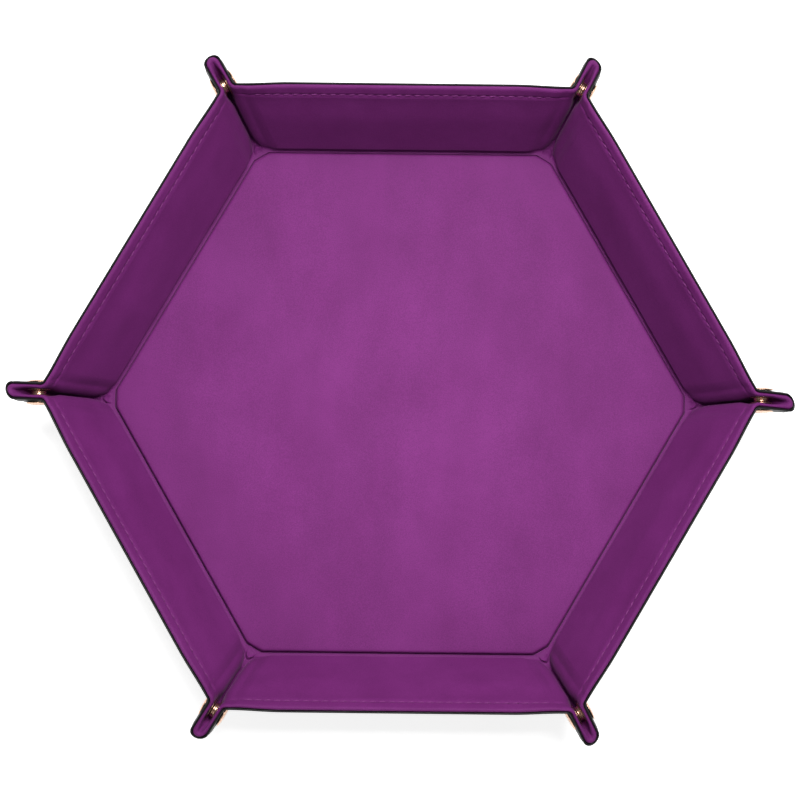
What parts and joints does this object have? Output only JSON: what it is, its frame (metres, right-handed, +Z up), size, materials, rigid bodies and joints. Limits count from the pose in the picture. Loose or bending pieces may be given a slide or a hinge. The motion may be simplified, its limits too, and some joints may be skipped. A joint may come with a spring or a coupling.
{
  "type": "folding dice tray",
  "caption": "Hexagonal velvet-lined leather dice tray. Its corners pinch into upright ears held by snaps; unsnapped, the board-stiffened walls fold down flat.",
  "frame": {"origin": "on the table under the middle of the floor", "axes": "+Z up, +X towards ear 1, +Y square to wall 2; ears 1 to 6 and walls 1 to 6 go counter-clockwise seen from above, with wall 1 between ears 1 and 2"},
  "size_m": [0.3136, 0.2736, 0.0396],
  "materials": {
    "leather": "fine-grained black synthetic leather, satin",
    "velvet": "short-pile purple velvet",
    "greyboard": "matt grey board, hidden inside",
    "snap_metal": "polished rose-gold plating"
  },
  "bodies": {
    "floor": {"floor_leather": "leather", "floor_board": "greyboard", "floor_velvet": "velvet"},
    "wall_1": {"wall_1_leather": "leather", "wall_1_board": "greyboard", "wall_1_velvet": "velvet"},
    "wall_2": {"wall_2_leather": "leather", "wall_2_board": "greyboard", "wall_2_velvet": "velvet"},
    "wall_3": {"wall_3_leather": "leather", "wall_3_board": "greyboard", "wall_3_velvet": "velvet"},
    "wall_4": {"wall_4_leather": "leather", "wall_4_board": "greyboard", "wall_4_velvet": "velvet"},
    "wall_5": {"wall_5_leather": "leather", "wall_5_board": "greyboard", "wall_5_velvet": "velvet"},
    "wall_6": {"wall_6_leather": "leather", "wall_6_board": "greyboard", "wall_6_velvet": "velvet"},
    "ear_1_socket_half": {"ear_1_socket_side_leather": "leather", "ear_1_socket_side_velvet": "velvet", "ear_1_snap_socket": "snap_metal"},
    "ear_1_stud_half": {"ear_1_stud_side_leather": "leather", "ear_1_stud_side_velvet": "velvet", "ear_1_snap_stud": "snap_metal"},
    "ear_2_socket_half": {"ear_2_socket_side_leather": "leather", "ear_2_socket_side_velvet": "velvet", "ear_2_snap_socket": "snap_metal"},
    "ear_2_stud_half": {"ear_2_stud_side_leather": "leather", "ear_2_stud_side_velvet": "velvet", "ear_2_snap_stud": "snap_metal"},
    "ear_3_socket_half": {"ear_3_socket_side_leather": "leather", "ear_3_socket_side_velvet": "velvet", "ear_3_snap_socket": "snap_metal"},
    "ear_3_stud_half": {"ear_3_stud_side_leather": "leather", "ear_3_stud_side_velvet": "velvet", "ear_3_snap_stud": "snap_metal"},
    "ear_4_socket_half": {"ear_4_socket_side_leather": "leather", "ear_4_socket_side_velvet": "velvet", "ear_4_snap_socket": "snap_metal"},
    "ear_4_stud_half": {"ear_4_stud_side_leather": "leather", "ear_4_stud_side_velvet": "velvet", "ear_4_snap_stud": "snap_metal"},
    "ear_5_socket_half": {"ear_5_socket_side_leather": "leather", "ear_5_socket_side_velvet": "velvet", "ear_5_snap_socket": "snap_metal"},
    "ear_5_stud_half": {"ear_5_stud_side_leather": "leather", "ear_5_stud_side_velvet": "velvet", "ear_5_snap_stud": "snap_metal"},
    "ear_6_socket_half": {"ear_6_socket_side_leather": "leather", "ear_6_socket_side_velvet": "velvet", "ear_6_snap_socket": "snap_metal"},
    "ear_6_stud_half": {"ear_6_stud_side_leather": "leather", "ear_6_stud_side_velvet": "velvet", "ear_6_snap_stud": "snap_metal"}
  },
  "joints": [
    {"name": "wall_1_fold", "type": "hinge", "parent": "floor", "child": "wall_1", "pos_m": [0.09093, 0.0525, 0.00128], "axis": [-0.5, 0.866, 0], "range_deg": [0, 61.5]},
    {"name": "wall_2_fold", "type": "hinge", "parent": "floor", "child": "wall_2", "pos_m": [0, 0.105, 0.00128], "axis": [-1, 0, 0], "range_deg": [0, 61.5]},
    {"name": "wall_3_fold", "type": "hinge", "parent": "floor", "child": "wall_3", "pos_m": [-0.09093, 0.0525, 0.00128], "axis": [-0.5, -0.866, 0], "range_deg": [0, 61.5]},
    {"name": "wall_4_fold", "type": "hinge", "parent": "floor", "child": "wall_4", "pos_m": [-0.09093, -0.0525, 0.00128], "axis": [0.5, -0.866, 0], "range_deg": [0, 61.5]},
    {"name": "wall_5_fold", "type": "hinge", "parent": "floor", "child": "wall_5", "pos_m": [0, -0.105, 0.00128], "axis": [1, 0, 0], "range_deg": [0, 61.5]},
    {"name": "wall_6_fold", "type": "hinge", "parent": "floor", "child": "wall_6", "pos_m": [0.09093, -0.0525, 0.00128], "axis": [0.5, 0.866, 0], "range_deg": [0, 61.5]},
    {"name": "ear_1_socket_half_fold", "type": "hinge", "parent": "wall_1", "child": "ear_1_socket_half", "pos_m": [0.12023, 0.00405, 0.00072], "axis": [-0.4907, 0, -0.8713], "range_deg": [0, 61]},
    {"name": "ear_2_stud_half_fold", "type": "hinge", "parent": "wall_1", "child": "ear_2_stud_half", "pos_m": [0.06362, 0.1021, 0.00072], "axis": [0.2454, 0.425, 0.8713], "range_deg": [0, 61]},
    {"name": "ear_2_socket_half_fold", "type": "hinge", "parent": "wall_2", "child": "ear_2_socket_half", "pos_m": [0.05661, 0.10615, 0.00072], "axis": [-0.2454, -0.425, -0.8713], "range_deg": [0, 61]},
    {"name": "ear_3_stud_half_fold", "type": "hinge", "parent": "wall_2", "child": "ear_3_stud_half", "pos_m": [-0.05661, 0.10615, 0.00072], "axis": [-0.2454, 0.425, 0.8713], "range_deg": [0, 61]},
    {"name": "ear_3_socket_half_fold", "type": "hinge", "parent": "wall_3", "child": "ear_3_socket_half", "pos_m": [-0.06362, 0.1021, 0.00072], "axis": [0.2454, -0.425, -0.8713], "range_deg": [0, 61]},
    {"name": "ear_4_stud_half_fold", "type": "hinge", "parent": "wall_3", "child": "ear_4_stud_half", "pos_m": [-0.12023, 0.00405, 0.00072], "axis": [-0.4907, 0, 0.8713], "range_deg": [0, 61]},
    {"name": "ear_4_socket_half_fold", "type": "hinge", "parent": "wall_4", "child": "ear_4_socket_half", "pos_m": [-0.12023, -0.00405, 0.00072], "axis": [0.4907, 0, -0.8713], "range_deg": [0, 61]},
    {"name": "ear_5_stud_half_fold", "type": "hinge", "parent": "wall_4", "child": "ear_5_stud_half", "pos_m": [-0.06362, -0.1021, 0.00072], "axis": [-0.2454, -0.425, 0.8713], "range_deg": [0, 61]},
    {"name": "ear_5_socket_half_fold", "type": "hinge", "parent": "wall_5", "child": "ear_5_socket_half", "pos_m": [-0.05661, -0.10615, 0.00072], "axis": [0.2454, 0.425, -0.8713], "range_deg": [0, 61]},
    {"name": "ear_6_stud_half_fold", "type": "hinge", "parent": "wall_5", "child": "ear_6_stud_half", "pos_m": [0.05661, -0.10615, 0.00072], "axis": [0.2454, -0.425, 0.8713], "range_deg": [0, 61]},
    {"name": "ear_6_socket_half_fold", "type": "hinge", "parent": "wall_6", "child": "ear_6_socket_half", "pos_m": [0.06362, -0.1021, 0.00072], "axis": [-0.2454, 0.425, -0.8713], "range_deg": [0, 61]},
    {"name": "ear_1_stud_half_fold", "type": "hinge", "parent": "wall_6", "child": "ear_1_stud_half", "pos_m": [0.12023, -0.00405, 0.00072], "axis": [0.4907, 0, 0.8713], "range_deg": [0, 61]}
  ],
  "couplings": [
    {"joint": "wall_2_fold", "follows": "wall_1_fold", "ratio": 1},
    {"joint": "wall_3_fold", "follows": "wall_1_fold", "ratio": 1},
    {"joint": "wall_4_fold", "follows": "wall_1_fold", "ratio": 1},
    {"joint": "wall_5_fold", "follows": "wall_1_fold", "ratio": 1},
    {"joint": "wall_6_fold", "follows": "wall_1_fold", "ratio": 1},
    {"joint": "ear_1_socket_half_fold", "follows": "wall_1_fold", "ratio": 0.98898},
    {"joint": "ear_2_stud_half_fold", "follows": "wall_1_fold", "ratio": 0.98898},
    {"joint": "ear_2_socket_half_fold", "follows": "wall_1_fold", "ratio": 0.98898},
    {"joint": "ear_3_stud_half_fold", "follows": "wall_1_fold", "ratio": 0.98898},
    {"joint": "ear_3_socket_half_fold", "follows": "wall_1_fold", "ratio": 0.98898},
    {"joint": "ear_4_stud_half_fold", "follows": "wall_1_fold", "ratio": 0.98898},
    {"joint": "ear_4_socket_half_fold", "follows": "wall_1_fold", "ratio": 0.98898},
    {"joint": "ear_5_stud_half_fold", "follows": "wall_1_fold", "ratio": 0.98898},
    {"joint": "ear_5_socket_half_fold", "follows": "wall_1_fold", "ratio": 0.98898},
    {"joint": "ear_6_stud_half_fold", "follows": "wall_1_fold", "ratio": 0.98898},
    {"joint": "ear_6_socket_half_fold", "follows": "wall_1_fold", "ratio": 0.98898},
    {"joint": "ear_1_stud_half_fold", "follows": "wall_1_fold", "ratio": 0.98898}
  ]
}
